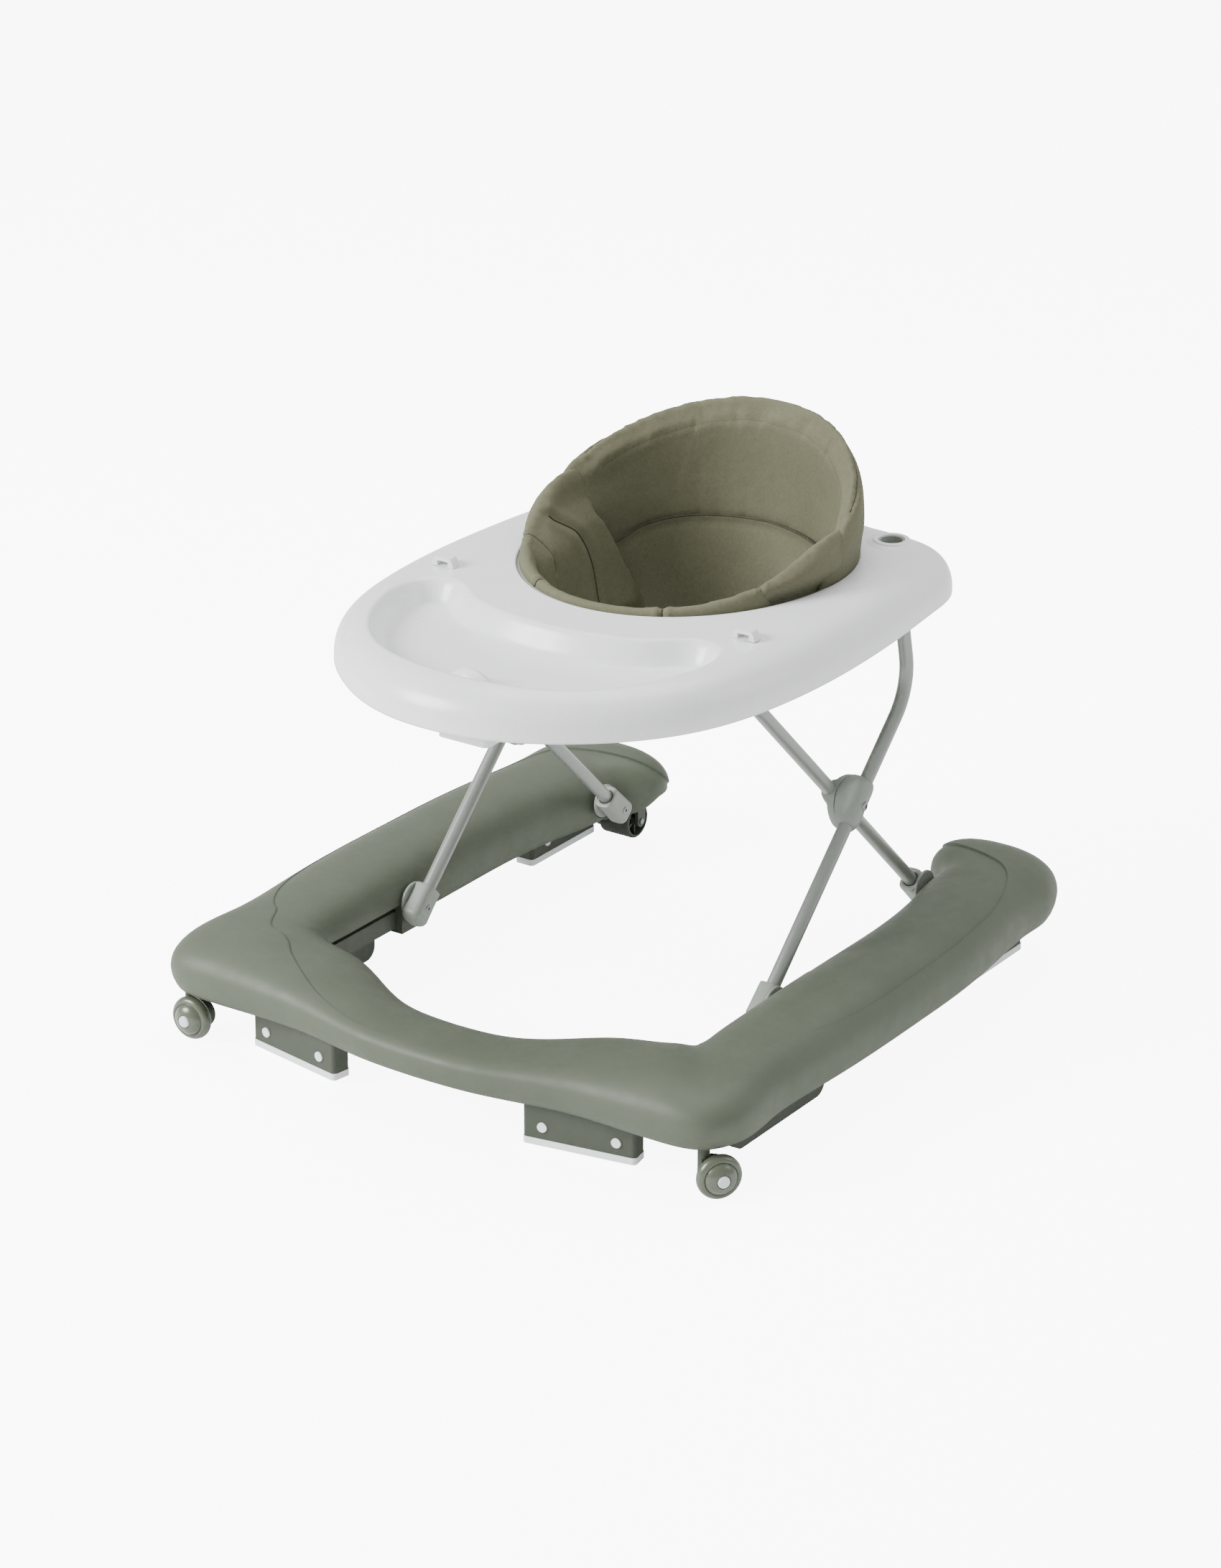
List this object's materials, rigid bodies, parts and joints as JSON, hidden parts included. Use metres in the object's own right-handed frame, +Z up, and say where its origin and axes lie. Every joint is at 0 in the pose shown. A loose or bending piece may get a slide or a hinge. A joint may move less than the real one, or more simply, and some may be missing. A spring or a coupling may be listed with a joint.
{
  "type": "baby walker",
  "caption": "Folding baby walker: moulded U base on casters and rear wheels, crossed tube frame, play tray with padded fabric seat.",
  "frame": {"origin": "on the floor, under the centre of the whole walker", "axes": "+Z up, the front crossbar faces -Y, +X to the right as seen from the front"},
  "size_m": [0.6336, 0.6732, 0.5187],
  "materials": {
    "base_green": "satin moulded polypropylene, sage green",
    "dark_green": "satin moulded plastic, darker sage green",
    "grip_grey": "matt soft rubber, light grey",
    "plug_white": "matt",
    "cap_white": "glossy",
    "wheel_green": "glossy moulded plastic, sage green",
    "rear_wheel_green": "satin",
    "steel": "zinc plated",
    "tube_grey": "satin powder coat, light grey-green",
    "joint_grey": "satin moulded plastic, light grey-green",
    "tray_white": "soft gloss white",
    "lever_grey": "satin",
    "hoop_grey": "satin",
    "seat_fabric": "woven polyester, olive"
  },
  "bodies": {
    "base": {"caster_sockets": "dark_green", "front_crossbar": "base_green", "left_front_grip_strip": "grip_grey", "left_front_stopper": "dark_green", "left_guide_rail": "dark_green", "left_rail_housing": "dark_green", "left_rear_end_cap": "base_green", "left_rear_grip_strip": "grip_grey", "left_rear_stopper": "dark_green", "left_rear_wheel_bracket": "dark_green", "left_side_arm": "base_green", "rear_axles": "steel", "rear_pivot_bosses": "dark_green", "rear_pivot_pins": "steel", "right_front_grip_strip": "grip_grey", "right_front_stopper": "dark_green", "right_guide_rail": "dark_green", "right_rail_housing": "dark_green", "right_rear_end_cap": "base_green", "right_rear_grip_strip": "grip_grey", "right_rear_stopper": "dark_green", "right_rear_wheel_bracket": "dark_green", "right_side_arm": "base_green", "stopper_plugs": "plug_white"},
    "rear_legs": {"rear_leg_tube": "tube_grey", "right_rear_foot_housing": "joint_grey", "left_rear_foot_housing": "joint_grey", "right_inner_cross_clamp": "joint_grey", "left_inner_cross_clamp": "joint_grey"},
    "front_legs": {"right_front_leg_tube": "tube_grey", "left_front_leg_tube": "tube_grey", "right_front_foot_housing": "joint_grey", "left_front_foot_housing": "joint_grey", "right_outer_cross_clamp": "joint_grey", "left_outer_cross_clamp": "joint_grey", "frame_screws": "steel"},
    "right_slider": {"right_slider_shoe": "dark_green"},
    "left_slider": {"left_slider_shoe": "dark_green"},
    "tray": {"tray_shell": "tray_white", "toy_anchors": "tray_white", "tray_pivot_brackets": "tray_white", "height_adjuster_tracks": "tray_white", "height_lock_housing": "tray_white", "seat_hoop": "hoop_grey", "seat_back_pad": "seat_fabric", "seat_front_pad": "seat_fabric", "right_seat_side_wing": "seat_fabric", "left_seat_side_wing": "seat_fabric", "seat_sling": "seat_fabric"},
    "height_release": {"height_release_lever": "lever_grey"},
    "right_caster": {"right_caster_fork": "dark_green", "right_caster_axle": "cap_white"},
    "left_caster": {"left_caster_fork": "dark_green", "left_caster_axle": "cap_white"},
    "right_caster_roller": {"right_caster_wheel": "wheel_green"},
    "left_caster_roller": {"left_caster_wheel": "wheel_green"},
    "right_rear_roller": {"right_rear_wheel": "rear_wheel_green"},
    "left_rear_roller": {"left_rear_wheel": "rear_wheel_green"}
  },
  "joints": [
    {"name": "fold", "type": "hinge", "parent": "base", "child": "rear_legs", "pos_m": [0, 0.244, 0.0645], "axis": [1, 0, 0], "range_deg": [0, 26]},
    {"name": "cross_pivot", "type": "hinge", "parent": "rear_legs", "child": "front_legs", "pos_m": [0, 0.0915, 0.212], "axis": [1, 0, 0], "range_deg": [-52, 0]},
    {"name": "right_slider_pivot", "type": "hinge", "parent": "front_legs", "child": "right_slider", "pos_m": [0.1958, -0.061, 0.0645], "axis": [1, 0, 0], "range_deg": [0, 26]},
    {"name": "left_slider_pivot", "type": "hinge", "parent": "front_legs", "child": "left_slider", "pos_m": [-0.1958, -0.061, 0.0645], "axis": [1, 0, 0], "range_deg": [0, 26]},
    {"name": "tray_tilt", "type": "hinge", "parent": "front_legs", "child": "tray", "pos_m": [0, 0.1647, 0.38], "axis": [1, 0, 0], "range_deg": [0, 31.38]},
    {"name": "height_release_press", "type": "slide", "parent": "tray", "child": "height_release", "axis": [0, -1, 0], "range_m": [0, 0.005], "stiffness_N_per_m": 400, "springref_m": -0.002},
    {"name": "right_caster_swivel", "type": "hinge", "parent": "base", "child": "right_caster", "pos_m": [0.2865, -0.2945, 0.06], "axis": [0, 0, 1], "continuous": true},
    {"name": "left_caster_swivel", "type": "hinge", "parent": "base", "child": "left_caster", "pos_m": [-0.2865, -0.2945, 0.06], "axis": [0, 0, 1], "continuous": true},
    {"name": "right_caster_spin", "type": "hinge", "parent": "right_caster", "child": "right_caster_roller", "pos_m": [0.30452, -0.2951, 0.021], "axis": [0.8131, -0.5821, 0], "continuous": true},
    {"name": "left_caster_spin", "type": "hinge", "parent": "left_caster", "child": "left_caster_roller", "pos_m": [-0.2765, -0.3095, 0.021], "axis": [0, -1, 0], "continuous": true},
    {"name": "right_rear_spin", "type": "hinge", "parent": "base", "child": "right_rear_roller", "pos_m": [0.221, 0.318, 0.019], "axis": [1, 0, 0], "continuous": true},
    {"name": "left_rear_spin", "type": "hinge", "parent": "base", "child": "left_rear_roller", "pos_m": [-0.221, 0.318, 0.019], "axis": [1, 0, 0], "continuous": true}
  ],
  "couplings": [
    {"joint": "cross_pivot", "follows": "fold", "ratio": -2},
    {"joint": "right_slider_pivot", "follows": "fold", "ratio": 1},
    {"joint": "left_slider_pivot", "follows": "fold", "ratio": 1},
    {"joint": "tray_tilt", "follows": "fold", "ratio": 1.2065}
  ]
}
